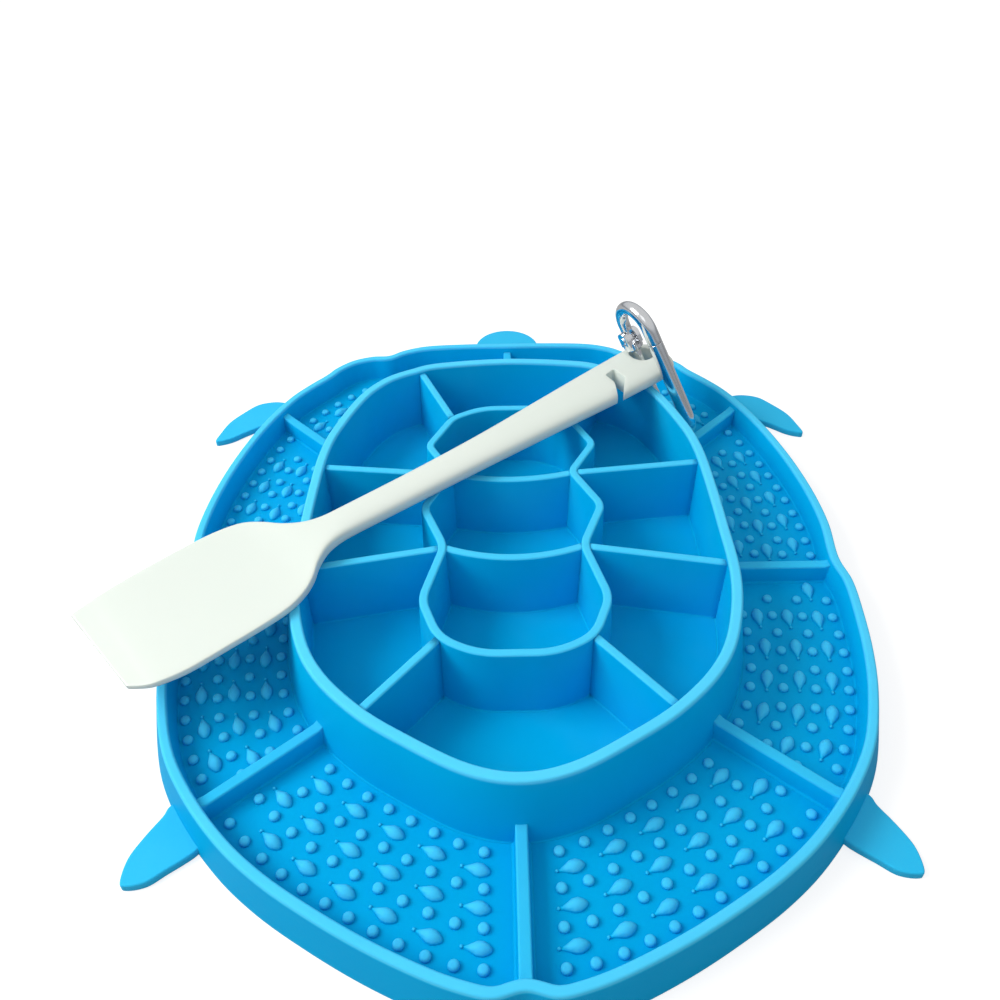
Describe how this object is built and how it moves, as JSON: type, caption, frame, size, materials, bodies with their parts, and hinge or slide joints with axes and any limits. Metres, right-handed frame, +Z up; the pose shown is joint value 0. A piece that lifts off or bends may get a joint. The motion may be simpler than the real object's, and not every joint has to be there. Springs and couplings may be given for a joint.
{
  "type": "lick mat",
  "caption": "Turtle shaped silicone lick mat with a nubbed trough round a tall divided feeding basin, a spatula lying across it and a spring clip in its handle.",
  "frame": {"origin": "on the ground under the middle of the mat's rim outline", "axes": "+Z up out of the mat's mouth, +Y towards the head, +X to the right seen from the tail"},
  "size_m": [0.2296, 0.2748, 0.0546],
  "materials": {
    "silicone": "satin moulded silicone",
    "plastic": "smooth satin",
    "chrome": "polished plating"
  },
  "bodies": {
    "mat": {"mat_floor": "silicone", "mat_rim": "silicone", "mat_ribs": "silicone", "basin_wall": "silicone", "basin_dividers": "silicone", "head": "silicone", "fore_flipper_left": "silicone", "fore_flipper_right": "silicone", "rear_flipper_left": "silicone", "rear_flipper_right": "silicone", "nubs_front_right": "silicone", "nubs_right_front": "silicone", "nubs_right_back": "silicone", "nubs_back_right": "silicone", "nubs_back_left": "silicone", "nubs_left_back": "silicone", "nubs_left_front": "silicone", "nubs_front_left": "silicone"},
    "spatula": {"spatula": "plastic"},
    "clip": {"clip_body": "chrome", "clip_rivet": "chrome", "clip_spring": "chrome"},
    "clip_bow": {"clip_bow": "chrome"}
  },
  "joints": [
    {"name": "spatula_lift", "type": "slide", "parent": "mat", "child": "spatula", "axis": [0, 0, 1], "range_m": [0, 0.15]},
    {"name": "clip_slide", "type": "slide", "parent": "spatula", "child": "clip", "axis": [-0.4249, 0.1971, 0.8835], "range_m": [0, 0.01]},
    {"name": "bow_open", "type": "hinge", "parent": "clip", "child": "clip_bow", "pos_m": [0.04376, 0.08591, 0.03739], "axis": [-0.8059, -0.5268, -0.2701], "range_deg": [0, 60], "stiffness_Nm_per_rad": 0.02, "springref_deg": -17.19}
  ]
}
